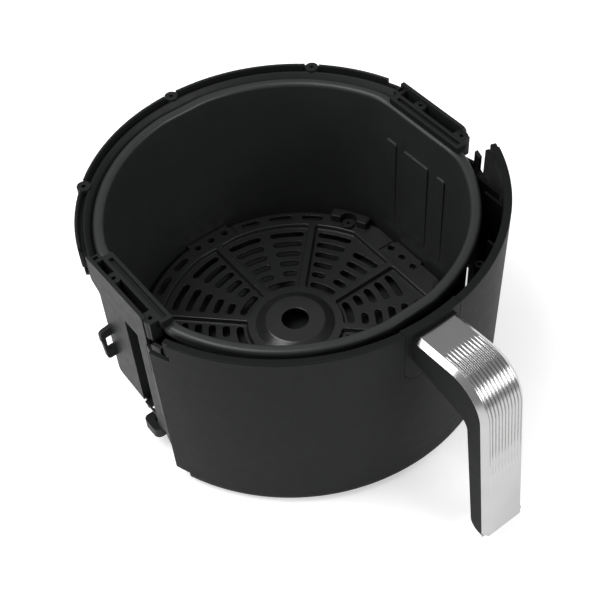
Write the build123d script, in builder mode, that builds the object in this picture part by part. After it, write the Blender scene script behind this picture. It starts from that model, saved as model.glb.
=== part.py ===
from build123d import *

import os
from math import cos, pi, radians, sin, sqrt

# Removable drawer of a round basket air fryer, in millimetres.
# +Z is up and the handle points along -Y.  The origin is on the pan's axis, in the plane the
# drawer stands on.  The trim cover that closes the top of the frame is not part of the model.

# ---------------------------------------------------------------- driving dimensions
PAN_TOP = 129.0             # height of the rolled rim
RIM_RADIUS = 118.0          # outer radius of the rim, round part
RIM_HALF_X = 112.0          # half width of the rim across its two side flats
RIM_HALF_Y = 117.0          # half width of the rim from front to back
RIM_WIDTH = 7.0
RIM_DEPTH = 6.0
CORNER_BLEND = 40.0         # radius that blends the flats into the round
PAN_WALL = 1.5
PAN_TAPER = 1.5             # how much the wall leans in from the rim to the floor
PAN_COVE = 7.0              # inner radius between the floor and the wall

PLATE_TOP = 13.8            # top of the crisper plate's rim and spokes
PLATE_SHEET = 1.5
PANEL_DEPTH = 3.0           # how far the eight panels lie below the rim
PLATE_RADIUS = 105.3
PLATE_HALF_X = 100.5
PANEL_RADIUS = 93.0
PANEL_HALF_X = 84.0
PANEL_HALF_Y = 91.7
HUB_RADIUS = 32.5
SPOKE_WIDTH = 4.6
SPOKES = 8
SLOT_WIDTH = 5.0
SLOT_PITCH = 9.55
FIRST_SLOT_RADIUS = 85.8
SLOT_ROWS = 5
BUMPER_ANGLE = 29.5         # of the four rubber bumpers, from the X axis
BUMPER_PIN_RADIUS = 98.4    # where each bumper's pin passes through the plate
BUMPER_PIN = 2.4

SHELL_TOP = 139.8
SHELL_RADIUS = 134.9        # outer radius at the top
SHELL_FOOT_RADIUS = 133.2   # outer radius that the wall leans in to at the bottom
SHELL_WALL = 2.6
SHELL_EDGE_WIDTH = 4.8      # thickened top edge
SHELL_EDGE_DEPTH = 11.0
SHELL_HALF_ANGLE = 71.3     # the shell covers this angle each side of the handle
SHELL_BOTTOM_RADIUS = 8.0
SHELL_FLANGE_RADIUS = 110.5

RING_RADIUS = 128.0
RING_TOP = 133.0
RING_BOTTOM = 112.0
RING_START_ANGLE = 16.4     # the ring starts and ends this far behind the brackets' X axis
RING_LUG_ANGLES = (45, 90, 135)
RING_LUG_RADIUS = 126.4
RING_TAB = 2.0
RING_TAB_TOP = 119.9
RING_SCREW = (115.8, 28.6)
REAR_TAB_SCREW = (0, 121.2)

BRACKET_FACE_X = 121.3      # outer face of the side plate
BRACKET_INNER_X = 106.0     # inner crest, which covers the pan's rim
BRACKET_TOP = 134.0
SIDE_PLATE_TOP = 136.8
SIDE_PLATE = 2.4
BRACKET_REAR_Y = 32.0
BRACKET_FRONT_Y = -36.5
TROUGH_BOTTOM = 120.0       # underside of the troughs' floor
TROUGH_FLOOR = 2.0
COVER_BOSS_X = 116.3        # open screw holes of the missing trim cover
COVER_BOSS_Y = (9.5, -29.2)
COVER_HOLE_RADIUS = 1.4

FOOT_BOTTOM = 12.0
FOOT_HOLE = (118.6, -12.0)  # open upright screw hole of the bracket's foot
FOOT_HOLE_RADIUS = 1.6
HANGER_TOP = 107.5          # flange of the pan's steel hangers
HANGER_SCREWS = ((115.4, -24.0), (115.4, 16.0))
HANGER_SCREW_LENGTH = 12.0
RING_SCREW_LENGTH = 9.0
REAR_TAB_TOP = 120.5
REAR_TAB_SCREW_LENGTH = 5.7

HANDLE_HALF_WIDTH = 15.5
ROOT_Y = -132.0             # where the grip starts, inside its root plate
GRIP_BEND = 27.0
TRIM_START_Y = -136.2
STIRRUP_BACK_Y = -111.7     # steel box between the pan's wall and the handle's root
STIRRUP_FRONT_Y = -128.4
HANDLE_SCREWS = ((-11.0, 126.6), (11.0, 126.6), (0.0, 108.0))
HANDLE_SCREW_LENGTH = 5.0
SEAM_HALF_WIDTH = 20.0      # the handle's root plate, let into the shell
SEAM_BOTTOM = 98.0
SEAM_CORNER = 10.0
SEAM_GAP = 0.3
TRIM_THICKNESS = 3.4

SCREW_RADIUS = 1.5
SCREW_HEAD_RADIUS = 2.9
SCREW_HEAD = 2.0
PILOT_CLEARANCE = 0.05
WING_RADIUS = 128.6         # outer radius of the brackets' wings, which lie inside the shell
WING = 2.4
WING_SCREW_LENGTH = 5.0
STEEL = 1.5                 # sheet of the hidden steel brackets

os.makedirs("parts", exist_ok=True)


def finish(builder, label):
    """Name a finished sub-part and write its file."""
    builder.part.label = label
    export_step(builder.part, f"parts/{label}.step")
    return builder.part


def polar(radius, angle):
    """Point on a circle about the pan's axis, with the angle in degrees from +X."""
    return (radius * cos(radians(angle)), radius * sin(radians(angle)))


def radial_plane(angle):
    """Upright plane through the pan's axis; its x runs outward at the angle and its y runs up."""
    return Plane(origin=(0, 0, 0), x_dir=(*polar(1, angle), 0), z_dir=(*polar(1, angle - 90), 0))


def mirror_to_left(right_part, label):
    """The same sub-part on the other side of the drawer."""
    with BuildPart() as left:
        mirror(right_part, about=Plane.YZ)
    return finish(left, label)


# ---------------------------------------------------------------- pan
def pan_outline(inset):
    """Plan outline of the pan: a circle with four flats, drawn in from the rim by inset."""
    with BuildSketch(mode=Mode.PRIVATE) as outline:
        Circle(RIM_RADIUS - inset)
        Rectangle(2 * (RIM_HALF_X - inset), 2 * (RIM_HALF_Y - inset), mode=Mode.INTERSECT)
        fillet(outline.vertices(), CORNER_BLEND)
    return outline.sketch


def tapered_bowl(low, high, skin, cove):
    """Solid from height low to height high inside the pan's wall, or with the wall if skin is its
    thickness, with its bottom edge rounded to cove."""
    def inset(z):
        return RIM_WIDTH - skin + PAN_TAPER * (PAN_TOP - z) / PAN_TOP
    with BuildPart() as bowl:
        with BuildSketch(Plane.XY.offset(low)):
            add(pan_outline(inset(low)))
        with BuildSketch(Plane.XY.offset(high)):
            add(pan_outline(inset(high)))
        loft(ruled=True)
        fillet(bowl.edges().group_by(Axis.Z)[0], cove)
    return bowl.part


def make_pan():
    emboss_bands = [(18.5, 29.0), (-13.0, 11.5), (-29.0, -20.5)]
    emboss_bottom, emboss_top = 26.0, 100.5
    emboss_face = RIM_HALF_X - RIM_WIDTH - PAN_TAPER + 0.1
    emboss_depth = 1.5
    with BuildPart() as pan:
        add(tapered_bowl(0, PAN_TOP - RIM_DEPTH / 2, PAN_WALL, PAN_COVE + PAN_WALL))
        with BuildSketch(Plane.XY.offset(PAN_TOP - RIM_DEPTH)):
            add(pan_outline(0))
        extrude(amount=RIM_DEPTH)
        add(tapered_bowl(PAN_WALL, PAN_TOP, 0, PAN_COVE), mode=Mode.SUBTRACT)
        fillet(pan.edges().group_by(Axis.Z)[-1], 2.7)
        # shallow embossed pads on the two side flats
        for side in (1, -1):
            with BuildSketch(Plane.YZ.offset(side * emboss_face)):
                for low, high in emboss_bands:
                    with Locations(((low + high) / 2, (emboss_bottom + emboss_top) / 2)):
                        RectangleRounded(high - low, emboss_top - emboss_bottom, 2.0)
            extrude(amount=side * emboss_depth, taper=-10)
    return finish(pan, "pan")


# ---------------------------------------------------------------- crisper plate
def panel_shapes(grow):
    """The eight sector panels between the spokes, each grown outward by grow."""
    with BuildSketch(mode=Mode.PRIVATE) as panels:
        Circle(PANEL_RADIUS + grow)
        Rectangle(2 * (PANEL_HALF_X + grow), 2 * (PANEL_HALF_Y + grow), mode=Mode.INTERSECT)
        Circle(HUB_RADIUS - grow, mode=Mode.SUBTRACT)
        for spoke in range(SPOKES // 2):
            Rectangle(3 * PANEL_RADIUS, SPOKE_WIDTH - 2 * grow, rotation=spoke * 360 / SPOKES,
                      mode=Mode.SUBTRACT)
        fillet(panels.vertices(), 2.0)
    return panels.sketch


def arc_slot(radius, start, end):
    """Round-ended slot on a circle, with its tips at the angles start and end."""
    cap = SLOT_WIDTH / 2 / radius * 180 / pi
    with BuildLine(mode=Mode.PRIVATE) as centre:
        CenterArc((0, 0), radius, start + cap, end - start - 2 * cap)
    SlotArc(centre.edges()[0], SLOT_WIDTH)


def panel_slots(middle):
    """Slots of one panel: two columns of arcs, and one wide arc beside the hub."""
    spoke_margin, column_margin = 5.2, 3.5
    half_sector = 180 / SPOKES
    for row in range(SLOT_ROWS):
        radius = FIRST_SLOT_RADIUS - row * SLOT_PITCH
        outer = half_sector - spoke_margin / radius * 180 / pi
        inner = column_margin / radius * 180 / pi
        for side in (-1, 1):
            beside_flat = abs(cos(radians(middle + side * half_sector))) > 0.99
            if row > 0 or not beside_flat:
                arc_slot(radius, *sorted((middle + side * inner, middle + side * outer)))
    hub_slot_radius = FIRST_SLOT_RADIUS - SLOT_ROWS * SLOT_PITCH
    outer = half_sector - spoke_margin / hub_slot_radius * 180 / pi
    arc_slot(hub_slot_radius, middle - outer, middle + outer)


def plate_tabs(margin):
    """The four stepped tabs on the plate's edge, each with three round holes."""
    Rectangle(2 * (102.6 - margin), 27 - 2 * margin)
    Rectangle(34 - 2 * margin, 2 * (107.6 - margin))


def plate_disc(inset):
    """Round plate with its two side flats, drawn in by inset."""
    Circle(PLATE_RADIUS - inset)
    Rectangle(2 * (PLATE_HALF_X - inset), 3 * PLATE_RADIUS, mode=Mode.INTERSECT)


def make_plate():
    bottom = PLATE_TOP - PANEL_DEPTH - PLATE_SHEET
    edge_thickness = 1.6
    tab_step = 1.0
    hub_top = PLATE_TOP + 4.0
    hub_hole_radius, hub_slope_radius = 9.1, 27.0
    rim_slot_radius, rim_slots = 99.6, [(41, 50), (54, 64), (68, 76)]
    tab_hole_radius, tab_hole_pitch = 2.5, 11.8
    with BuildPart() as plate:
        with BuildSketch(Plane.XY.offset(bottom)):
            plate_disc(0)
            plate_tabs(0)
        extrude(amount=PLATE_TOP - bottom)
        # eight panels pressed down between the spokes
        with BuildSketch(Plane.XY.offset(PLATE_TOP)):
            add(panel_shapes(0))
        extrude(amount=-PANEL_DEPTH, taper=18, mode=Mode.SUBTRACT)
        fillet(plate.edges().filter_by(Plane.XY).group_by(Axis.Z)[-1], 0.6)
        # the tabs step down a little from the rim
        with BuildSketch(Plane.XY.offset(PLATE_TOP)):
            plate_tabs(-2)
            Rectangle(2 * (PANEL_HALF_X + 3), 2 * (PANEL_HALF_Y + 3), mode=Mode.SUBTRACT)
        extrude(amount=-tab_step, mode=Mode.SUBTRACT)
        # hollow underside, which leaves an even sheet and a turned-down edge
        with BuildSketch(Plane.XY.offset(bottom)):
            plate_disc(edge_thickness)
            add(panel_shapes(edge_thickness), mode=Mode.SUBTRACT)
            Rectangle(3 * PLATE_RADIUS, 32, mode=Mode.SUBTRACT)
            Rectangle(39, 3 * PLATE_RADIUS, mode=Mode.SUBTRACT)
            Circle(HUB_RADIUS - edge_thickness)
        extrude(amount=PANEL_DEPTH, mode=Mode.SUBTRACT)
        # domed hub with the lifting hole
        with BuildSketch(Plane.XY.offset(bottom)):
            Circle(hub_slope_radius - 1)
        extrude(amount=PLATE_TOP - bottom, mode=Mode.SUBTRACT)
        with BuildSketch(Plane.XZ):
            with BuildLine():
                FilletPolyline((hub_hole_radius, hub_top - PLATE_SHEET), (hub_hole_radius, hub_top),
                               (20.4, hub_top), (hub_slope_radius, PLATE_TOP),
                               (hub_slope_radius, PLATE_TOP - PLATE_SHEET),
                               (19.6, hub_top - PLATE_SHEET),
                               radius=[0, 0.6, 3.0, 0, 0, 2.0], close=True)
            make_face()
        revolve(axis=Axis.Z)
        # slots and holes
        with BuildSketch(Plane.XY.offset(bottom)):
            for sector in range(SPOKES):
                panel_slots((sector + 0.5) * 360 / SPOKES)
            for start, end in rim_slots:
                for ends in ((start, end), (180 - end, 180 - start)):
                    arc_slot(rim_slot_radius, *ends)
                    arc_slot(rim_slot_radius, ends[0] + 180, ends[1] + 180)
            for side in (-1, 1):
                for step in (-1, 0, 1):
                    with Locations((side * 95.2, step * tab_hole_pitch),
                                   (step * tab_hole_pitch, side * 101.4)):
                        Circle(tab_hole_radius)
            with Locations(*[polar(BUMPER_PIN_RADIUS, angle) for angle in bumper_angles()]):
                Circle(BUMPER_PIN + PILOT_CLEARANCE)
        extrude(amount=PLATE_TOP - bottom, mode=Mode.SUBTRACT)
    return finish(plate, "crisper_plate")


def bumper_angles():
    return [BUMPER_ANGLE, 180 - BUMPER_ANGLE, 180 + BUMPER_ANGLE, 360 - BUMPER_ANGLE]


def make_bumper(angle, label):
    """Rubber bumper that grips the plate's edge and stands on the pan's floor."""
    inner_radius, outer_radius = 98.5, 107.8
    half_span = 8.2
    block_bottom, block_top = 5.0, 19.8
    plate_bottom = PLATE_TOP - PANEL_DEPTH - PLATE_SHEET
    foot_radius, foot_bottom = 4.6, 1.8
    arch_radius, button_radius, button_top = 6.3, 4.4, PLATE_TOP + 2.0
    pin_x, pin_y = polar(BUMPER_PIN_RADIUS, angle)
    with BuildPart() as bumper:
        with BuildSketch(radial_plane(angle - half_span)):
            with BuildLine():
                FilletPolyline((inner_radius, block_bottom), (outer_radius, block_bottom),
                               (outer_radius, block_top), (inner_radius, block_top),
                               radius=[1.0, 2.4, 2.4, 1.0], close=True)
            make_face()
        revolve(axis=Axis.Z, revolution_arc=2 * half_span)
        fillet(bumper.edges().filter_by(GeomType.LINE).filter_by(Axis.Z), 1.8)
        # slot that grips the plate's edge
        with BuildSketch(Plane.XY.offset(plate_bottom)):
            Circle(PLATE_RADIUS + PILOT_CLEARANCE)
        extrude(amount=PLATE_TOP - plate_bottom, mode=Mode.SUBTRACT)
        # arch with the button and its pin through the plate
        with BuildSketch(Plane.XY.offset(PLATE_TOP)):
            with Locations((pin_x, pin_y)):
                Circle(arch_radius)
        extrude(amount=block_top, mode=Mode.SUBTRACT)
        with BuildSketch(Plane.XY.offset(PLATE_TOP)):
            with Locations((pin_x, pin_y)):
                Circle(button_radius)
        extrude(amount=button_top - PLATE_TOP)
        with BuildSketch(Plane.XY.offset(plate_bottom)):
            with Locations((pin_x, pin_y)):
                Circle(BUMPER_PIN)
        extrude(amount=PLATE_TOP - plate_bottom)
        with BuildSketch(Plane.XY.offset(foot_bottom)):
            with Locations((pin_x, pin_y)):
                Circle(foot_radius)
        extrude(amount=plate_bottom - foot_bottom)
        with BuildSketch(Plane.XY.offset(button_top)):
            with Locations((pin_x, pin_y)):
                Circle(1.3)
        extrude(amount=-2.5, mode=Mode.SUBTRACT)
    return finish(bumper, label)


# ---------------------------------------------------------------- front shell
def shell_radius(z):
    """Outer radius of the shell at height z."""
    return SHELL_FOOT_RADIUS + (SHELL_RADIUS - SHELL_FOOT_RADIUS) * z / SHELL_TOP


def wall_y(x, z):
    """Y of the middle of the shell's wall at the given x and height."""
    return -sqrt((shell_radius(z) - SHELL_WALL / 2) ** 2 - x ** 2)


def seam_outline(gap):
    """Round-cornered panel that the handle's root fills, seen from the front, drawn in by gap.
    It runs on above the shell's top."""
    height = 60.0
    with BuildSketch(mode=Mode.PRIVATE) as outline:
        with Locations((0, SEAM_BOTTOM + gap)):
            RectangleRounded(2 * (SEAM_HALF_WIDTH - gap), height, SEAM_CORNER - gap,
                             align=(Align.CENTER, Align.MIN))
    return outline.sketch


def shell_corner(side, height, radius):
    """Waste that leaves a rounded corner at one end of the shell, at its top or its bottom."""
    end_angle = -90 + side * SHELL_HALF_ANGLE
    corner_plane = Plane(origin=(0, 0, height), x_dir=(*polar(1, end_angle - side * 90), 0),
                         z_dir=(*polar(side, end_angle), 0))
    inward = -radius if height > radius else radius
    with BuildPart() as waste:
        with BuildSketch(corner_plane):
            Rectangle(2 * radius, 2 * radius)
            with Locations((radius, inward)):
                Circle(radius, mode=Mode.SUBTRACT)
        extrude(amount=side * 2 * SHELL_RADIUS)
    return waste.part


def make_shell():
    start = -90 - SHELL_HALF_ANGLE
    edge_margin = 4.5
    top_corner_radius, bottom_corner_radius = 14.0, 10.0
    inner_foot = SHELL_FOOT_RADIUS - SHELL_WALL
    edge_bottom = SHELL_TOP - SHELL_EDGE_DEPTH
    edge_inner = SHELL_RADIUS - SHELL_EDGE_WIDTH
    ribs = ((112.6, -49.5), (106.5, -62.5), (79.5, -94.0))
    rib_bottom, rib_top, rib_thickness = 10.0, 116.0, 2.0
    post_angle, post_radius, post_top = 29.5, 122.6, 119.0
    with BuildPart() as shell:
        with BuildSketch(radial_plane(start)):
            with BuildLine():
                FilletPolyline((SHELL_RADIUS, SHELL_TOP), (SHELL_FOOT_RADIUS, 0),
                               (SHELL_FLANGE_RADIUS, 0), (SHELL_FLANGE_RADIUS, SHELL_WALL),
                               (inner_foot, SHELL_WALL), (SHELL_RADIUS - SHELL_WALL, SHELL_TOP),
                               radius=[0.9, SHELL_BOTTOM_RADIUS, 0.8, 0.8,
                                       SHELL_BOTTOM_RADIUS - SHELL_WALL, 0.6], close=True)
            make_face()
        revolve(axis=Axis.Z, revolution_arc=2 * SHELL_HALF_ANGLE)
        for side in (-1, 1):
            add(shell_corner(side, SHELL_TOP, top_corner_radius), mode=Mode.SUBTRACT)
            add(shell_corner(side, 0, bottom_corner_radius), mode=Mode.SUBTRACT)
        # thickened top edge
        with BuildSketch(radial_plane(start + edge_margin)):
            with BuildLine():
                FilletPolyline((SHELL_RADIUS - 1.2, SHELL_TOP), (SHELL_RADIUS - 1.4, edge_bottom),
                               (edge_inner, edge_bottom + 3), (edge_inner, SHELL_TOP),
                               radius=[0, 0, 1.5, 0.6], close=True)
            make_face()
        revolve(axis=Axis.Z, revolution_arc=2 * (SHELL_HALF_ANGLE - edge_margin))
        # upright stiffening ribs inside the wall, all parallel to the handle
        for rib_x, rib_rear_y in ribs:
            for side in (-1, 1):
                with BuildSketch(Plane.YZ.offset(side * rib_x)):
                    with BuildLine():
                        Polyline((rib_rear_y, rib_bottom), (wall_y(rib_x, rib_bottom), rib_bottom),
                                 (wall_y(rib_x, rib_top), rib_top), (rib_rear_y, rib_top),
                                 close=True)
                    make_face()
                extrude(amount=rib_thickness / 2, both=True)
        # two posts for the missing cover, on short arms
        for side in (-1, 1):
            with BuildSketch(radial_plane(-90 + side * post_angle)):
                with Locations(((post_radius + SHELL_FOOT_RADIUS) / 2, post_top - 8)):
                    Rectangle(SHELL_FOOT_RADIUS + 1.5 - post_radius, 12)
            extrude(amount=1, both=True)
            with BuildSketch(Plane.XY.offset(post_top - 14)):
                with Locations(polar(post_radius, -90 + side * post_angle)):
                    Circle(2.8)
            extrude(amount=14)
            with BuildSketch(Plane.XY.offset(post_top)):
                with Locations(polar(post_radius, -90 + side * post_angle)):
                    Circle(COVER_HOLE_RADIUS)
            extrude(amount=-9, mode=Mode.SUBTRACT)
        # notch for the handle's root
        with BuildSketch(Plane.XZ.offset(SHELL_RADIUS - 20)):
            add(seam_outline(0))
        extrude(amount=40, mode=Mode.SUBTRACT)
        # bosses and pilot holes for the four screws that hold the shell to the brackets' wings
        for angle, height in wing_screw_places():
            with BuildSketch(wing_screw_plane(angle, height).offset(WING + 0.2)):
                Circle(3.2)
            extrude(amount=4.0)
            with BuildSketch(wing_screw_plane(angle, height)):
                Circle(SCREW_RADIUS + PILOT_CLEARANCE)
            extrude(amount=WING_SCREW_LENGTH + 0.1, mode=Mode.SUBTRACT)
    return finish(shell, "front_shell")


# ---------------------------------------------------------------- screws
def screw(plane, length):
    """One pan head screw; its shank runs from the plane along the plane's normal."""
    slot_length, slot_width, slot_depth = 3.8, 0.9, 1.1
    with BuildPart() as one_screw:
        with BuildSketch(plane):
            Circle(SCREW_RADIUS)
        extrude(amount=length)
        with BuildSketch(plane):
            Circle(SCREW_HEAD_RADIUS)
        extrude(amount=-SCREW_HEAD, taper=8)
        with BuildSketch(plane.offset(-SCREW_HEAD)):
            Rectangle(slot_length, slot_width)
            Rectangle(slot_width, slot_length)
        extrude(amount=slot_depth, mode=Mode.SUBTRACT)
    return one_screw.part


def make_screws(planes, length, label):
    """A set of identical screws."""
    with BuildPart() as screws:
        for plane in planes:
            add(screw(plane, length))
    return finish(screws, label)


def wing_screw_places():
    """Angle and height of the screws through the wings into the shell."""
    return [(angle, height) for angle in (-22.4, 202.4) for height in (42.0, 96.0)]


def wing_screw_plane(angle, height):
    """Plane just inside the inner face of a wing, facing outward."""
    return Plane(origin=(*polar(WING_RADIUS - WING - 0.05, angle), height), x_dir=(0, 0, 1),
                 z_dir=(*polar(1, angle), 0))


def upright_planes(places, height):
    """Planes at one height for screws driven from below."""
    return [Plane(origin=(x, y, height), z_dir=(0, 0, 1)) for x, y in places]


# ---------------------------------------------------------------- rear ring
def ring_wall(top):
    """Outer wall of the ring, which runs out to nothing towards both of its ends."""
    wall, full_wall_y, wall_end_y = 2.2, 64.0, 40.0
    with BuildPart() as skirt:
        with BuildSketch(Plane.XY.offset(RING_BOTTOM)):
            Circle(RING_RADIUS)
            Circle(RING_RADIUS - wall, mode=Mode.SUBTRACT)
        extrude(amount=top - RING_BOTTOM)
        with BuildSketch(Plane.YZ):
            Polygon((full_wall_y, RING_BOTTOM), (wall_end_y, top), (-2 * RING_RADIUS, top),
                    (-2 * RING_RADIUS, RING_BOTTOM), align=None)
        extrude(amount=2 * RING_RADIUS, both=True, mode=Mode.SUBTRACT)
    return skirt.part


def make_ring():
    lug_radius, lug_top, lug_height, lug_hole_depth = 4.4, 131.4, 10.4, 9.0
    ring_arc = 180 - 2 * RING_START_ANGLE
    lip_start_angle = 20.5
    wall_top = 125.2
    with BuildPart() as ring:
        # groove, ridge and the funnel that leads down to the pan's rim
        with BuildSketch(radial_plane(RING_START_ANGLE)):
            with BuildLine():
                FilletPolyline((RING_RADIUS, wall_top), (RING_RADIUS, 129.0), (126.0, 129.0),
                               (126.0, 127.4), (123.9, 127.4), (123.5, 129.8), (122.3, 129.8),
                               (118.6, 125.0), (118.6, 122.6), (116.6, 122.6), (116.6, 121.0),
                               (119.8, 121.0), (122.6, wall_top),
                               radius=[0, 0, 0, 0, 0, 0.5, 0.5, 0.5, 0, 0, 0, 0, 0.5],
                               close=True)
            make_face()
        revolve(axis=Axis.Z, revolution_arc=ring_arc)
        add(ring_wall(wall_top + 0.4))
        # upstanding lip
        with BuildSketch(radial_plane(lip_start_angle)):
            with BuildLine():
                FilletPolyline((RING_RADIUS, 128.0), (RING_RADIUS, RING_TOP),
                               (126.0, RING_TOP), (126.0, 128.0), radius=[0, 0.9, 0.9, 0],
                               close=True)
            make_face()
        revolve(axis=Axis.Z, revolution_arc=180 - 2 * lip_start_angle)
        # screw lugs for the missing cover, which interrupt the lip
        lug_places = [polar(RING_LUG_RADIUS, angle) for angle in RING_LUG_ANGLES]
        with BuildSketch(Plane.XY.offset(lug_top)):
            with Locations(*lug_places):
                Circle(lug_radius + 0.6)
        extrude(amount=RING_TOP - lug_top + 1, mode=Mode.SUBTRACT)
        with BuildSketch(Plane.XY.offset(lug_top - lug_height)):
            with Locations(*lug_places):
                Circle(lug_radius)
        extrude(amount=lug_height)
        with BuildSketch(Plane.XY.offset(lug_top)):
            with Locations(*lug_places):
                Circle(COVER_HOLE_RADIUS)
        extrude(amount=-lug_hole_depth, mode=Mode.SUBTRACT)
        # end tabs, screwed up into the brackets
        with BuildSketch(Plane.XY.offset(RING_TAB_TOP - RING_TAB)):
            for side in (-1, 1):
                with BuildLine():
                    Polyline((side * 113.4, 23.5), (side * 118.5, 23.5), (side * 118.5, 33.5),
                             (side * 122.0, 36.2), (side * 120.0, 42.0), (side * 113.4, 42.0),
                             close=True)
                make_face()
        extrude(amount=RING_TAB)
        for side in (-1, 1):
            add(box(sorted((side * 114.2, side * 119.0)), (36.4, 41.8),
                    (RING_TAB_TOP - RING_TAB, wall_top + 1.0)))
        # boss for the rear tab of the pan
        with BuildSketch(Plane.XY.offset(120.7)):
            with Locations(REAR_TAB_SCREW):
                Circle(3.6)
        extrude(amount=125.4 - 120.7)
        with BuildSketch(Plane.XY.offset(RING_TAB_TOP - RING_TAB)):
            with Locations(REAR_TAB_SCREW, RING_SCREW, (-RING_SCREW[0], RING_SCREW[1])):
                Circle(SCREW_RADIUS + PILOT_CLEARANCE)
        extrude(amount=7.0, mode=Mode.SUBTRACT)
    return finish(ring, "rear_ring")


# ---------------------------------------------------------------- brackets
def side_plate_outline():
    """Upright outline of the side plate, seen along X."""
    front_y, strip_rear_y, strip_front_y = -28.6, -4.8, -20.0
    with BuildSketch(mode=Mode.PRIVATE) as outline:
        with BuildLine():
            FilletPolyline((BRACKET_REAR_Y, SIDE_PLATE_TOP), (BRACKET_REAR_Y, 117.0), (24.2, 111.5),
                           (24.2, 37.5), (strip_rear_y, 35.0), (strip_rear_y, FOOT_BOTTOM + 2),
                           (strip_front_y, FOOT_BOTTOM + 2), (strip_front_y, 24.0),
                           (front_y, 24.0), (front_y, SIDE_PLATE_TOP),
                           radius=[0.8, 3, 4, 4, 1.5, 0, 0, 0, 0, 3.5], close=True)
        make_face()
    return outline.sketch


def wing_outline():
    """Plan of the strip that leaves the side plate and lies inside the end of the shell."""
    bend_angle, tip_angle = -16.5, -24.5
    inner_radius = WING_RADIUS - WING
    with BuildSketch(mode=Mode.PRIVATE) as outline:
        with BuildLine():
            Polyline(polar(inner_radius, bend_angle), (BRACKET_FACE_X - SIDE_PLATE, -27.4),
                     (BRACKET_FACE_X, -27.0), polar(WING_RADIUS, bend_angle))
            CenterArc((0, 0), WING_RADIUS, bend_angle, tip_angle - bend_angle)
            Line(polar(WING_RADIUS, tip_angle), polar(inner_radius, tip_angle))
            CenterArc((0, 0), inner_radius, tip_angle, bend_angle - tip_angle)
        make_face()
    return outline.sketch


def box(x_range, y_range, z_range):
    """Solid block between the given limits."""
    with BuildPart() as block:
        with BuildSketch(Plane.XY.offset(z_range[0])):
            with Locations((sum(x_range) / 2, sum(y_range) / 2)):
                Rectangle(x_range[1] - x_range[0], y_range[1] - y_range[0])
        extrude(amount=z_range[1] - z_range[0])
    return block.part


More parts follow.
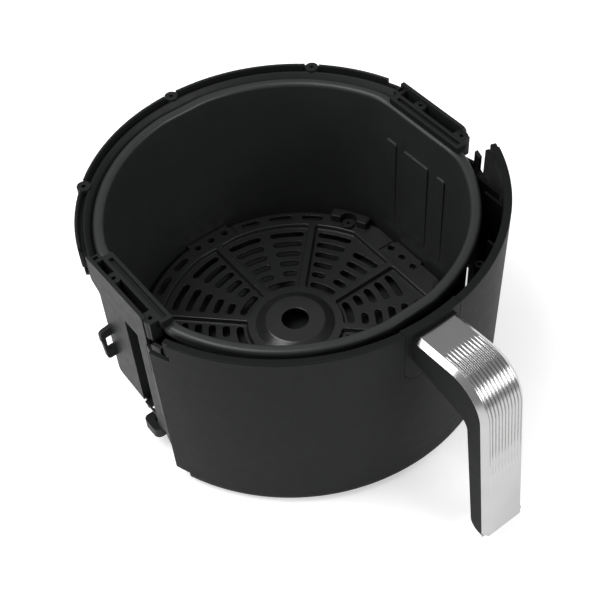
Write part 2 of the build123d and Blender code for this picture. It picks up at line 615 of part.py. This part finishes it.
def make_bracket():
    """Right side bracket of the frame: troughs on top, side plate, wing, hook and foot."""
    plate_inner = BRACKET_FACE_X - SIDE_PLATE
    box_inner, rib_outer, rail_inner, rail_outer = 112.7, 113.6, 108.2, 111.2
    rail_depth = 2.4
    crest_bottom = PAN_TOP + 0.8
    window_y, window_z, channel_wall, channel_inner = (-17.6, -4.0), (34.0, 112.0), 1.6, 114.5
    hook_y, hook_bottom, hook_top, hook_reach = (20.6, 23.6), 57.0, 82.0, 129.2
    eye_width, eye_height, eye_middle = 4.9, 11.0, 71.0
    foot_top = FOOT_BOTTOM + 8
    boss_radius, cover_hole_depth, under_boss_radius = 4.3, 11.0, 3.4
    wing_bottom, wing_top = 20.0, 113.0
    fin_top, fin_y, fin_width = 124.0, -40.9, 6.2
    with BuildPart() as bracket:
        with BuildSketch(Plane.YZ.offset(plate_inner)):
            add(side_plate_outline())
        extrude(amount=SIDE_PLATE)
        # block on top with its two troughs
        add(box((box_inner, plate_inner + 0.5), (BRACKET_FRONT_Y + 3, BRACKET_REAR_Y),
                (TROUGH_BOTTOM, BRACKET_TOP)))
        add(box((BRACKET_INNER_X, rib_outer), (BRACKET_FRONT_Y, BRACKET_REAR_Y - 4),
                (crest_bottom, BRACKET_TOP)))
        add(box((rib_outer, plate_inner), (-24.0, 26.0),
                (TROUGH_BOTTOM + TROUGH_FLOOR, SIDE_PLATE_TOP)), mode=Mode.SUBTRACT)
        add(box((rail_inner, rail_outer), (-34.0, 24.0),
                (BRACKET_TOP - rail_depth, SIDE_PLATE_TOP)), mode=Mode.SUBTRACT)
        add(box((114.6, plate_inner), (28.2, 30.8), (BRACKET_TOP - 2, SIDE_PLATE_TOP)),
            mode=Mode.SUBTRACT)
        # bosses with the open screw holes of the missing cover
        with BuildSketch(Plane.XY.offset(TROUGH_BOTTOM)):
            with Locations(*[(COVER_BOSS_X, y) for y in COVER_BOSS_Y]):
                Circle(boss_radius)
        extrude(amount=BRACKET_TOP - TROUGH_BOTTOM)
        with BuildSketch(Plane.XY.offset(BRACKET_TOP)):
            with Locations(*[(COVER_BOSS_X, y) for y in COVER_BOSS_Y]):
                Circle(COVER_HOLE_RADIUS)
        extrude(amount=-cover_hole_depth, mode=Mode.SUBTRACT)
        # window in the side plate, with walls that run inward round it
        add(box((channel_inner, plate_inner + 0.5),
                (window_y[0] - channel_wall, window_y[1] + channel_wall),
                (24.0, window_z[1] + channel_wall)))
        add(box((channel_inner - 1, BRACKET_FACE_X + 1), window_y, window_z), mode=Mode.SUBTRACT)
        add(box((channel_inner + channel_wall, BRACKET_FACE_X + 1), window_y,
                (foot_top, window_z[0] - channel_wall)), mode=Mode.SUBTRACT)
        # foot with its upright screw hole
        with BuildSketch(Plane.XY.offset(FOOT_BOTTOM)):
            with BuildLine():
                FilletPolyline((112.5, -4.8), (125.0, -4.8), (125.0, -20.0), (112.5, -20.0),
                               radius=[1, 3.2, 4.2, 1], close=True)
            make_face()
        extrude(amount=foot_top - FOOT_BOTTOM)
        # its screw hole runs on through the sill of the window above
        with BuildSketch(Plane.XY.offset(FOOT_BOTTOM)):
            with Locations(FOOT_HOLE):
                Circle(FOOT_HOLE_RADIUS)
        extrude(amount=window_z[0] - FOOT_BOTTOM, mode=Mode.SUBTRACT)
        # hook with its rectangular eye
        with BuildSketch(Plane.XZ.offset(-hook_y[1])):
            with BuildLine():
                FilletPolyline((plate_inner + 1, hook_bottom), (hook_reach - 1.4, hook_bottom),
                               (hook_reach - 0.6, 73.0), (hook_reach, 74.0), (hook_reach, hook_top),
                               (plate_inner + 1, hook_top + 1.6),
                               radius=[0, 2.5, 0.5, 0.5, 3.0, 0], close=True)
            make_face()
            with Locations((BRACKET_FACE_X + eye_width / 2, eye_middle)):
                Rectangle(eye_width, eye_height, mode=Mode.SUBTRACT)
        extrude(amount=hook_y[1] - hook_y[0])
        # wing inside the end of the shell, with a small fin, and the slit beside it
        with BuildSketch(Plane.XY.offset(wing_bottom)):
            add(wing_outline())
        extrude(amount=wing_top - wing_bottom)
        with BuildSketch(Plane.XY.offset(wing_top)):
            add(wing_outline())
            with Locations((0, fin_y)):
                Rectangle(4 * RIM_RADIUS, fin_width, mode=Mode.INTERSECT)
        extrude(amount=fin_top - wing_top)
        add(box((plate_inner + 1.2, BRACKET_FACE_X + 1), (-27.4, -26.6), (86.0, wing_top)),
            mode=Mode.SUBTRACT)
        # bosses and holes for the screws from below
        with BuildSketch(Plane.XY.offset(HANGER_TOP)):
            with Locations(*HANGER_SCREWS):
                Circle(under_boss_radius)
        extrude(amount=TROUGH_BOTTOM - HANGER_TOP + 1)
        with BuildSketch(Plane.XY.offset(HANGER_TOP)):
            with Locations(*HANGER_SCREWS):
                Circle(SCREW_RADIUS + PILOT_CLEARANCE)
        extrude(amount=HANGER_SCREW_LENGTH - 1, mode=Mode.SUBTRACT)
        with BuildSketch(Plane.XY.offset(TROUGH_BOTTOM)):
            with Locations(RING_SCREW):
                Circle(SCREW_RADIUS + PILOT_CLEARANCE)
        extrude(amount=RING_SCREW_LENGTH, mode=Mode.SUBTRACT)
        for angle, height in wing_screw_places()[:2]:
            with BuildSketch(wing_screw_plane(angle, height)):
                Circle(SCREW_RADIUS + PILOT_CLEARANCE)
            extrude(amount=WING + 1, mode=Mode.SUBTRACT)
    return finish(bracket, "right_bracket")


# ---------------------------------------------------------------- steel hangers of the pan
def make_hanger():
    """Right angle bracket welded to the pan's side and screwed up into the side bracket."""
    leg_inner, leg_y, leg_bottom = 106.5, (-30.0, 21.0), 82.0
    flange_reach = 118.5
    with BuildPart() as hanger:
        add(box((leg_inner, leg_inner + STEEL), leg_y, (leg_bottom, HANGER_TOP)))
        add(box((leg_inner, flange_reach), leg_y, (HANGER_TOP - STEEL, HANGER_TOP)))
        # clear of the walls round the side plate's window
        add(box((113.8, 2 * flange_reach), (-20.0, -1.6), (leg_bottom, PAN_TOP)),
            mode=Mode.SUBTRACT)
        fillet(hanger.edges().filter_by(Axis.Y).group_by(Axis.X)[0].group_by(Axis.Z)[-1], 1.0)
        with BuildSketch(Plane.XY.offset(HANGER_TOP)):
            with Locations(*HANGER_SCREWS):
                Circle(SCREW_RADIUS + 2 * PILOT_CLEARANCE)
        extrude(amount=-STEEL, mode=Mode.SUBTRACT)
    return finish(hanger, "pan_hanger_right")


def make_rear_tab():
    """Angle bracket welded to the back of the pan and screwed up into the ring's boss."""
    half_width, leg_inner, leg_bottom, top = 9.0, 111.5, 95.0, REAR_TAB_TOP
    reach = REAR_TAB_SCREW[1] + 3.4
    with BuildPart() as tab:
        add(box((-half_width, half_width), (leg_inner, leg_inner + STEEL), (leg_bottom, top)))
        add(box((-half_width, half_width), (leg_inner, reach), (top - STEEL, top)))
        fillet(tab.edges().filter_by(Axis.X).group_by(Axis.Y)[0].group_by(Axis.Z)[-1], 1.0)
        with BuildSketch(Plane.XY.offset(top)):
            with Locations(REAR_TAB_SCREW):
                Circle(SCREW_RADIUS + 2 * PILOT_CLEARANCE)
        extrude(amount=-STEEL, mode=Mode.SUBTRACT)
    return finish(tab, "rear_pan_tab")


# ---------------------------------------------------------------- handle
def grip_outline():
    """Side profile of the whole grip, with x along Y and y along Z."""
    with BuildSketch(mode=Mode.PRIVATE) as outline:
        with BuildLine():
            FilletPolyline((ROOT_Y, 136.3), (-189.1, 139.9), (-203.0, 13.0), (-189.2, 14.5),
                           (-177.9, 105.6), (ROOT_Y, 116.5),
                           radius=[0, GRIP_BEND, 4, 9, 9, 0], close=True)
        make_face()
    return outline.sketch


def grip_core_outline():
    """Side profile of everything under the grip's outer trim."""
    inner_bend = GRIP_BEND - TRIM_THICKNESS
    with BuildSketch(mode=Mode.PRIVATE) as outline:
        with BuildLine():
            FilletPolyline((TRIM_START_Y, 132.7), (-186.1, 136.3), (-200.0, 9.0), (ROOT_Y, 9.0),
                           (ROOT_Y, 145.0), (TRIM_START_Y, 145.0),
                           radius=[0, inner_bend, 0, 0, 0, 0], close=True)
        make_face()
    return outline.sketch


def grip_core():
    """Everything under the trim, as a solid."""
    with BuildPart() as core:
        with BuildSketch(Plane.YZ):
            add(grip_core_outline())
        extrude(amount=2 * HANDLE_HALF_WIDTH, both=True)
    return core.part


def grip_layer(core_mode):
    """The grip inside its core, or its outer layer if the core is subtracted."""
    edge_radius = 2.2
    with BuildPart() as grip:
        with BuildSketch(Plane.YZ):
            add(grip_outline())
        extrude(amount=HANDLE_HALF_WIDTH, both=True)
        if core_mode == Mode.INTERSECT:
            hand_edges = [edge for edge in grip.faces().filter_by(Plane.YZ).edges()
                          if edge.center().Z < 112 and edge.center().Y > -192]
            fillet(hand_edges, edge_radius)
        add(grip_core(), mode=core_mode)
    return grip.part


def shell_band(low, high, inner_radius):
    """Full ring with the shell's outer surface, from which the handle's root is cut."""
    with BuildPart() as band:
        with BuildSketch(Plane.XZ):
            with BuildLine():
                Polyline((inner_radius, low), (shell_radius(low), low), (shell_radius(high), high),
                         (inner_radius, high), close=True)
            make_face()
        revolve(axis=Axis.Z)
    return band.part


def make_handle_body():
    root_inner, boss_radius = 129.5, 3.6
    with BuildPart() as handle_body:
        with BuildSketch(Plane.XZ.offset(SHELL_RADIUS - 25)):
            add(seam_outline(SEAM_GAP))
        extrude(amount=50)
        add(shell_band(SEAM_BOTTOM, SHELL_TOP, root_inner), mode=Mode.INTERSECT)
        add(grip_layer(Mode.INTERSECT))
        with BuildSketch(Plane.XZ.offset(-STIRRUP_FRONT_Y)):
            with Locations(*HANDLE_SCREWS):
                Circle(boss_radius)
        extrude(amount=3)
        with BuildSketch(Plane.XZ.offset(-STIRRUP_FRONT_Y)):
            with Locations(*HANDLE_SCREWS):
                Circle(SCREW_RADIUS + PILOT_CLEARANCE)
        extrude(amount=HANDLE_SCREW_LENGTH - STEEL, mode=Mode.SUBTRACT)
    return finish(handle_body, "handle_body")


def groove_waste():
    """Waste above the floor of the trim's grooves, which run out to nothing at both ends."""
    groove_count, groove_pitch, groove_width = 10, 2.35, 1.25
    with BuildPart() as grooves:
        for groove in range(groove_count):
            middle = (groove - (groove_count - 1) / 2) * groove_pitch
            with BuildSketch(Plane.YZ.offset(middle)):
                with BuildLine():
                    FilletPolyline((-147.0, 138.6), (-156.0, 137.1), (-188.4, 139.1),
                                   (-192.8, 100.0), (-195.4, 88.0), (-215.0, 88.0),
                                   (-215.0, 150.0), (-147.0, 150.0),
                                   radius=[0, 8, GRIP_BEND, 20, 0, 0, 0, 0], close=True)
                make_face()
            extrude(amount=groove_width / 2, both=True)
    return grooves.part


def make_trim():
    chamfer_width = 3.2
    with BuildPart() as trim:
        add(grip_layer(Mode.SUBTRACT))
        outer_edges = trim.faces().filter_by(Plane.YZ).edges().filter_by(
            lambda edge: not grip_core().is_inside(edge.center()))
        chamfer(outer_edges, chamfer_width)
        add(groove_waste(), mode=Mode.SUBTRACT)
    return finish(trim, "handle_trim")


def make_stirrup():
    back_half_width, half_width = 18.0, 16.5
    back_z, web_z, front_z = (92.0, 119.0), (98.0, 118.0), (98.0, 131.0)
    back = STIRRUP_BACK_Y - STEEL
    front = STIRRUP_FRONT_Y + STEEL
    with BuildPart() as stirrup:
        add(box((-back_half_width, back_half_width), (back, STIRRUP_BACK_Y), back_z))
        add(box((-half_width, half_width), (STIRRUP_FRONT_Y, front), front_z))
        for side in (-1, 1):
            middle = side * (half_width - STEEL / 2)
            add(box((middle - STEEL / 2, middle + STEEL / 2), (front, back), web_z))
        with BuildSketch(Plane.XZ.offset(-STIRRUP_FRONT_Y)):
            with Locations(*HANDLE_SCREWS):
                Circle(SCREW_RADIUS + 2 * PILOT_CLEARANCE)
        extrude(amount=-STEEL, mode=Mode.SUBTRACT)
    return finish(stirrup, "handle_stirrup")


# ---------------------------------------------------------------- the whole drawer
make_pan()
make_plate()
for bumper_angle, place in zip(bumper_angles(),
                               ("rear_right", "rear_left", "front_left", "front_right")):
    make_bumper(bumper_angle, f"bumper_{place}")
make_shell()
make_ring()
mirror_to_left(make_bracket(), "left_bracket")
mirror_to_left(make_hanger(), "pan_hanger_left")
make_rear_tab()
make_handle_body()
make_trim()
make_stirrup()
hanger_places = [(side * x, y) for side in (-1, 1) for x, y in HANGER_SCREWS]
make_screws(upright_planes(hanger_places, HANGER_TOP - STEEL), HANGER_SCREW_LENGTH,
            "bracket_screws")
ring_places = [(side * RING_SCREW[0], RING_SCREW[1]) for side in (-1, 1)]
make_screws(upright_planes(ring_places, RING_TAB_TOP - RING_TAB), RING_SCREW_LENGTH,
            "ring_screws")
make_screws(upright_planes([REAR_TAB_SCREW], REAR_TAB_TOP - STEEL), REAR_TAB_SCREW_LENGTH,
            "rear_tab_screw")
make_screws([wing_screw_plane(angle, height) for angle, height in wing_screw_places()],
            WING_SCREW_LENGTH, "shell_screws")
make_screws([Plane(origin=(x, STIRRUP_FRONT_Y + STEEL, z), z_dir=(0, -1, 0))
             for x, z in HANDLE_SCREWS], HANDLE_SCREW_LENGTH, "handle_screws")
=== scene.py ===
"""Look of the air fryer drawer: materials, ribbed handle trim, studio and camera."""

import math

import bmesh
import bpy
from mathutils import Matrix, Vector


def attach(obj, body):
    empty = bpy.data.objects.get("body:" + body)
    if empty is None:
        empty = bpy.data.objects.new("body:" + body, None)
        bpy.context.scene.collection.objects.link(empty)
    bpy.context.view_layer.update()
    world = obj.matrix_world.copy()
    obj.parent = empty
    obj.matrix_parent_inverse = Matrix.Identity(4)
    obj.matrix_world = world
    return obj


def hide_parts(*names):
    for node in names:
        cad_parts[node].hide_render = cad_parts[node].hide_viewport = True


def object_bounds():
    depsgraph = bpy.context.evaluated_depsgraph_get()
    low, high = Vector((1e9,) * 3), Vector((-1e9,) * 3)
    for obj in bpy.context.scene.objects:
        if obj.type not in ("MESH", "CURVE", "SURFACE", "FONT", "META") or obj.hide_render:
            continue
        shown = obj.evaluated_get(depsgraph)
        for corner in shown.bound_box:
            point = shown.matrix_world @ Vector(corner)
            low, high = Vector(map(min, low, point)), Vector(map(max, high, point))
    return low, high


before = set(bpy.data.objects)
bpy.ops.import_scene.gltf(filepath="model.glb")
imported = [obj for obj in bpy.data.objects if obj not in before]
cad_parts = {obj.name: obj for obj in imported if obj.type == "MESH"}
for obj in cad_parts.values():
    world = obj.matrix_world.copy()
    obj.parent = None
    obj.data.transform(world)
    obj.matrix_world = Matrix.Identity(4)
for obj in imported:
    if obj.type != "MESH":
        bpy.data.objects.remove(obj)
CAD_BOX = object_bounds()
MM = 0.001
MOTTLE_SCALE = 55           # cells per metre of the colour's mottle
GLOSS_SCALE = 170           # and of the uneven gloss


# ---------------------------------------------------------------- material helpers
def new_material(name):
    """A material with an empty node tree apart from its output and shader."""
    material = bpy.data.materials.new(name)
    material.use_nodes = True
    tree = material.node_tree
    shader = tree.nodes["Principled BSDF"]
    return material, tree, shader


def add_node(tree, kind, **values):
    """Add a node; keyword names with spaces replaced by underscores set its sockets."""
    node = tree.nodes.new(kind)
    for key, value in values.items():
        socket = key.replace("_", " ")
        if socket in node.inputs:
            node.inputs[socket].default_value = value
        else:
            setattr(node, key, value)
    return node


def object_noise(tree, scale, detail=3.0, stretch=(1, 1, 1)):
    """Noise over the object's own coordinates; scale is in cells per metre."""
    coordinates = add_node(tree, "ShaderNodeTexCoord")
    mapping = add_node(tree, "ShaderNodeMapping", Scale=stretch)
    noise = add_node(tree, "ShaderNodeTexNoise", Scale=scale, Detail=detail, Roughness=0.55)
    tree.links.new(coordinates.outputs["Object"], mapping.inputs["Vector"])
    tree.links.new(mapping.outputs["Vector"], noise.inputs["Vector"])
    return noise.outputs["Fac"]


def ramp(tree, factor, low, high, start=0.3, end=0.7):
    """Colour that goes from low to high as the factor goes from start to end."""
    node = add_node(tree, "ShaderNodeValToRGB")
    node.color_ramp.elements[0].position = start
    node.color_ramp.elements[0].color = (*low, 1)
    node.color_ramp.elements[1].position = end
    node.color_ramp.elements[1].color = (*high, 1)
    tree.links.new(factor, node.inputs["Fac"])
    return node.outputs["Color"]


def spread(tree, factor, low, high):
    """Number that goes from low to high with the factor."""
    node = add_node(tree, "ShaderNodeMapRange", To_Min=low, To_Max=high)
    node.inputs["From Min"].default_value = 0.3
    node.inputs["From Max"].default_value = 0.7
    tree.links.new(factor, node.inputs["Value"])
    return node.outputs["Result"]


def surface(name, dark, light, rough, grain, grain_depth, edge=0.4 * MM, metallic=0.0,
            specular=0.5, stretch=(1, 1, 1), coat=0.0):
    """Moulded, coated or metal surface with mottled colour, uneven gloss and a fine grain."""
    material, tree, shader = new_material(name)
    shader.inputs["Metallic"].default_value = metallic
    shader.inputs["Specular IOR Level"].default_value = specular
    shader.inputs["Coat Weight"].default_value = coat
    shader.inputs["Coat Roughness"].default_value = 0.12
    mottle = object_noise(tree, MOTTLE_SCALE, 4.0)
    tree.links.new(ramp(tree, mottle, dark, light), shader.inputs["Base Color"])
    sheen = object_noise(tree, GLOSS_SCALE, 5.0, stretch)
    tree.links.new(spread(tree, sheen, *rough), shader.inputs["Roughness"])
    edges = add_node(tree, "ShaderNodeBevel", Radius=edge)
    edges.samples = 6
    bump = add_node(tree, "ShaderNodeBump", Strength=1.0, Distance=grain_depth)
    tree.links.new(object_noise(tree, grain, 2.0, stretch), bump.inputs["Height"])
    tree.links.new(edges.outputs["Normal"], bump.inputs["Normal"])
    tree.links.new(bump.outputs["Normal"], shader.inputs["Normal"])
    return material


def paint(material, *nodes):
    """Give CAD nodes a material."""
    for node in nodes:
        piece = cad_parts[node]
        if not piece.material_slots:
            piece.data.materials.append(material)
        for material_slot in piece.material_slots:
            material_slot.material = material


shell_plastic = surface("shell_plastic", (0.0066, 0.0071, 0.0071), (0.0073, 0.0078, 0.0078),
                        (0.54, 0.60), 2600, 0.012 * MM, specular=0.10)
frame_plastic = surface("frame_plastic", (0.0085, 0.009, 0.009), (0.0100, 0.0108, 0.0108),
                        (0.46, 0.54), 2400, 0.015 * MM, specular=0.20)
pan_coating = surface("pan_coating", (0.0190, 0.0198, 0.0198), (0.0215, 0.0225, 0.0225),
                      (0.36, 0.44), 900, 0.012 * MM, edge=0.6 * MM, specular=0.42)
plate_coating = surface("plate_coating", (0.0170, 0.0175, 0.0175), (0.0190, 0.0196, 0.0196),
                        (0.20, 0.28), 1100, 0.012 * MM, edge=0.5 * MM, specular=0.5)
rubber = surface("bumper_rubber", (0.007, 0.007, 0.007), (0.010, 0.010, 0.010),
                 (0.50, 0.62), 3000, 0.02 * MM, edge=0.5 * MM, specular=0.35)
dark_steel = surface("frame_steel", (0.05, 0.05, 0.05), (0.08, 0.08, 0.08),
                     (0.38, 0.5), 1500, 0.01 * MM, edge=0.3 * MM, metallic=1.0,
                     stretch=(1, 1, 12))
screw_steel = surface("screws", (0.28, 0.28, 0.28), (0.42, 0.42, 0.41),
                      (0.25, 0.38), 2500, 0.01 * MM, edge=0.2 * MM, metallic=1.0)
silver = surface("trim_metal", (0.41, 0.41, 0.41), (0.44, 0.44, 0.44),
                 (0.20, 0.23), 1400, 0.0012 * MM, edge=0.3 * MM, metallic=1.0,
                 stretch=(6, 0.4, 0.4))

paint(shell_plastic, "front_shell", "handle_body")
paint(frame_plastic, "rear_ring", "left_bracket", "right_bracket")
paint(pan_coating, "pan")
paint(plate_coating, "crisper_plate")
paint(rubber, "bumper_rear_right", "bumper_rear_left", "bumper_front_left", "bumper_front_right")
paint(dark_steel, "pan_hanger_left", "pan_hanger_right", "rear_pan_tab", "handle_stirrup")
paint(screw_steel, "handle_screws", "bracket_screws", "shell_screws", "ring_screws",
      "rear_tab_screw")
paint(silver, "handle_trim")


# ---------------------------------------------------------------- ribbed handle trim
TRIM_HALF_WIDTH = 15.5      # this block is in millimetres until the mesh is made
TRIM_THICKNESS = 3.3
CHAMFER = 3.2
RIBS = 10
RIB_PITCH = 2.35
RIB_DEPTH = 0.9
GROOVES_BEGIN_Y = (-150.0, -166.0)  # the grooves deepen between these, from the root outward
GROOVES_END_Z = (60.0, 90.0)        # and run out between these, down the grip
PATH_STEP = 1.6
ARC_STEPS = 26
TIP_RUN_OUT = 3.4                   # length over which the trim thins at its lower end
BEND_RADIUS = 27.0
TIP_RADIUS = 2.6
TRIM_START = Vector((-136.3, 136.51))
BEND_CORNER = Vector((-189.1, 139.9))
TIP_CORNER = Vector((-203.0, 13.0))
TIP_END = Vector((-199.4, 13.4))


def rounded_path(points, radii, steps):
    """Points along straight runs joined by arcs; each comes with its direction."""
    path = []
    cursor = points[0]
    for corner, following, radius in zip(points[1:-1], points[2:], radii):
        before = (corner - cursor).normalized()
        after = (following - corner).normalized()
        turn = before.angle(after)
        setback = radius * math.tan(turn / 2)
        side = 1 if before.x * after.y - before.y * after.x > 0 else -1
        run_end = corner - before * setback
        runs = max(2, int((run_end - cursor).length / PATH_STEP))
        for step in range(runs):
            path.append((cursor.lerp(run_end, step / runs), before))
        centre = run_end + Vector((-before.y, before.x)) * radius * side
        for step in range(steps):
            swing = Matrix.Rotation(side * turn * step / steps, 2)
            path.append((centre + swing @ (run_end - centre), swing @ before))
        cursor = corner + after * setback
    last = (points[-1] - cursor).normalized()
    path.append((cursor, last))
    path.append((points[-1], last))
    return path


def smooth(value, low, high):
    """0 below low, 1 above high, and a smooth step between."""
    t = min(1.0, max(0.0, (value - low) / (high - low)))
    return t * t * (3 - 2 * t)


def rib_strength(point):
    """How deep the grooves are at a point of the side profile."""
    begin, full = GROOVES_BEGIN_Y
    return smooth(-point.x, -begin, -full) * smooth(point.y, *GROOVES_END_Z)


def groove_depth(x):
    """Depth of the grooved surface across the trim, from 0 on a ridge to 1 in a groove."""
    phase = abs((x / RIB_PITCH) % 1.0 - 0.5) * 2
    return smooth(phase, 0.45, 0.95)


def across(columns_per_rib=8):
    """Positions across the trim, closer together over the ribs."""
    rib_half = RIBS * RIB_PITCH / 2
    count = RIBS * columns_per_rib
    ribs = [-rib_half + index * 2 * rib_half / count for index in range(count + 1)]
    edge = [rib_half + (TRIM_HALF_WIDTH - CHAMFER - rib_half) * k / 2 for k in (1, 2)]
    edge += [TRIM_HALF_WIDTH - CHAMFER * k / 4 for k in (3, 2, 1, 0)]
    return [-x for x in reversed(edge)] + ribs + edge


def outer_depth(x, strength):
    """How far the outer surface lies in from the side profile at x."""
    chamfer_depth = max(0.0, abs(x) - (TRIM_HALF_WIDTH - CHAMFER))
    inside_ribs = abs(x) < RIBS * RIB_PITCH / 2 - 0.01
    return chamfer_depth + (RIB_DEPTH * strength * groove_depth(x) if inside_ribs else 0.0)


def make_ribbed_trim():
    """Silver trim over the grip: the side profile swept across, with chamfers and grooves."""
    path = rounded_path([TRIM_START, BEND_CORNER, TIP_CORNER, TIP_END],
                        [BEND_RADIUS, TIP_RADIUS], ARC_STEPS)
    columns = across()
    mesh = bmesh.new()
    rings = []
    for point, direction in path:
        inward = Vector((-direction.y, direction.x))
        strength = rib_strength(point)
        thickness = TRIM_THICKNESS * smooth((point - TIP_END).length, -0.6, TIP_RUN_OUT)
        ring = []
        for x in columns:
            depth = min(outer_depth(x, strength), thickness - 0.05)
            place = point + inward * depth
            ring.append(mesh.verts.new((x * MM, place.x * MM, place.y * MM)))
        for x in (columns[-1], columns[0]):
            place = point + inward * thickness
            ring.append(mesh.verts.new((x * MM, place.x * MM, place.y * MM)))
        rings.append(ring)
    count = len(rings[0])
    for ring, following in zip(rings, rings[1:]):
        for k in range(count):
            mesh.faces.new((ring[k], ring[(k + 1) % count],
                            following[(k + 1) % count], following[k]))
    mesh.faces.new(rings[0])
    mesh.faces.new(rings[-1])
    bmesh.ops.recalc_face_normals(mesh, faces=mesh.faces)
    data = bpy.data.meshes.new("ribbed_trim")
    mesh.to_mesh(data)
    mesh.free()
    data.materials.append(silver)
    trim = bpy.data.objects.new("ribbed_trim", data)
    bpy.context.scene.collection.objects.link(trim)
    data.shade_smooth()
    split = trim.modifiers.new("edges", "EDGE_SPLIT")
    split.split_angle = math.radians(38)
    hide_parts("handle_trim")
    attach(trim, "drawer")
    return trim


make_ribbed_trim()


# ---------------------------------------------------------------- studio
SENSOR_WIDTH = 36           # in millimetres, as the focal length
FOCAL_LENGTH = 71.225


def make_floor():
    """Pale paper that the drawer stands on, which glows a little so that it stays even."""
    half_size, gap = 6.0, 0.0005
    material, tree, shader = new_material("floor_paper")
    shade = ramp(tree, object_noise(tree, 9), (0.90, 0.90, 0.90), (0.93, 0.93, 0.93))
    tree.links.new(shade, shader.inputs["Base Color"])
    tree.links.new(shade, shader.inputs["Emission Color"])
    shader.inputs["Emission Strength"].default_value = 0.42
    shader.inputs["Roughness"].default_value = 0.9
    shader.inputs["Specular IOR Level"].default_value = 0.1
    mesh = bmesh.new()
    bmesh.ops.create_grid(mesh, x_segments=4, y_segments=4, size=half_size)
    data = bpy.data.meshes.new("floor")
    mesh.to_mesh(data)
    mesh.free()
    data.materials.append(material)
    floor = bpy.data.objects.new("floor", data)
    floor.location = (0, 0, CAD_BOX[0][2] - gap)
    bpy.context.scene.collection.objects.link(floor)


def add_light(name, place, aim, size, power):
    """Soft rectangular lamp of the given size in metres and power in watts."""
    light = bpy.data.lights.new(name, "AREA")
    light.shape = "RECTANGLE"
    light.size, light.size_y = size
    light.energy = power
    lamp = bpy.data.objects.new(name, light)
    lamp.location = place
    lamp.rotation_euler = (Vector(aim) - Vector(place)).to_track_quat("-Z", "Y").to_euler()
    bpy.context.scene.collection.objects.link(lamp)


def make_world(strength):
    """Even white surroundings."""
    world = bpy.data.worlds.new("studio")
    world.use_nodes = True
    background = world.node_tree.nodes["Background"]
    background.inputs["Color"].default_value = (1, 1, 1, 1)
    background.inputs["Strength"].default_value = strength
    bpy.context.scene.world = world


def make_camera():
    """Camera above the front left, with a long lens and a slight roll."""
    azimuth, elevation, roll = math.radians(-34.38), math.radians(49.11), math.radians(-4.15)
    distance = 0.75897
    aim = Vector((-0.00827, -0.01936, 0.060))
    back = Vector((math.sin(azimuth) * math.cos(elevation),
                   -math.cos(azimuth) * math.cos(elevation), math.sin(elevation)))
    right = (-back).cross(Vector((0, 0, 1))).normalized()
    up = right.cross(-back)
    turned_right = right * math.cos(roll) + up * math.sin(roll)
    turned_up = up * math.cos(roll) - right * math.sin(roll)
    camera_data = bpy.data.cameras.new("camera")
    camera_data.sensor_width = SENSOR_WIDTH
    camera_data.lens = FOCAL_LENGTH
    camera = bpy.data.objects.new("camera", camera_data)
    camera.matrix_world = Matrix.Translation(aim + back * distance) @ Matrix(
        (turned_right, turned_up, back)).transposed().to_4x4()
    bpy.context.scene.collection.objects.link(camera)
    bpy.context.scene.camera = camera


make_floor()
make_world(0.42)
add_light("top_softbox", (-0.5, 0.25, 1.3), (0, 0, 0.1), (0.9, 0.9), 12)
add_light("left_softbox", (-1.2, 0.75, 0.65), (0, 0, 0.1), (0.6, 0.8), 7)
add_light("front_softbox", (0.48, -1.16, 0.82), (0, -0.18, 0.1), (0.9, 0.5), 9)
make_camera()
scene = bpy.context.scene
scene.view_settings.view_transform = "Standard"
